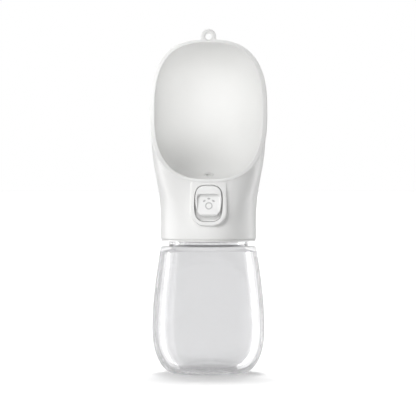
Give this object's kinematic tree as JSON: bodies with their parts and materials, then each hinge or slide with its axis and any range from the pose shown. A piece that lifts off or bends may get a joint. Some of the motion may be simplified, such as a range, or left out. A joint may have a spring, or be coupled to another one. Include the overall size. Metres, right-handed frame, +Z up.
{
  "type": "dog travel water bottle",
  "caption": "Clear bottle with a screwed-on drinking-bowl head; a key on the front is pressed to let water into the bowl and slides down to lock.",
  "frame": {"origin": "centre of the bottle's base, on the surface it stands on", "axes": "+Z up along the bottle, the bowl and the key face -Y, +X to the right as seen from the front"},
  "size_m": [0.0762, 0.0734, 0.2251],
  "materials": {
    "clear_plastic": "gloss",
    "white_plastic": "gloss",
    "natural_plastic": "satin",
    "silicone": "matte",
    "black_rubber": "matte",
    "steel": "brushed"
  },
  "bodies": {
    "bottle": {"bottle": "clear_plastic"},
    "gasket": {"neck_gasket": "silicone"},
    "head": {"screw_insert": "white_plastic", "insert_o_ring": "black_rubber", "vent_valve": "silicone", "head_shell": "white_plastic", "valve_body": "natural_plastic", "valve_screws": "steel", "inlet_seal": "silicone", "outlet_nozzle": "silicone", "valve_cap": "natural_plastic", "cap_o_ring": "black_rubber", "return_spring": "steel"},
    "press": {"plunger": "natural_plastic", "plunger_o_ring": "black_rubber", "poppet_seal": "black_rubber", "spring_washer": "steel", "key_carrier": "white_plastic", "carrier_screw": "steel"},
    "key": {"key": "white_plastic"}
  },
  "joints": [
    {"name": "head_rise", "type": "slide", "parent": "bottle", "child": "gasket", "axis": [0, 0, 1], "range_m": [0, 0.012]},
    {"name": "head_turn", "type": "hinge", "parent": "gasket", "child": "head", "pos_m": [0, 0, 0.0832], "axis": [0, 0, 1], "range_deg": [0, 540]},
    {"name": "button_press", "type": "slide", "parent": "head", "child": "press", "axis": [0, 1, 0], "range_m": [0, 0.003], "stiffness_N_per_m": 700, "springref_m": -0.004, "deforming": ["return_spring"]},
    {"name": "lock_slide", "type": "slide", "parent": "press", "child": "key", "axis": [0, 0, -1], "range_m": [0, 0.0025]}
  ],
  "couplings": [
    {"joint": "head_rise", "follows": "head_turn", "m_per_rad": 0.0012732}
  ]
}
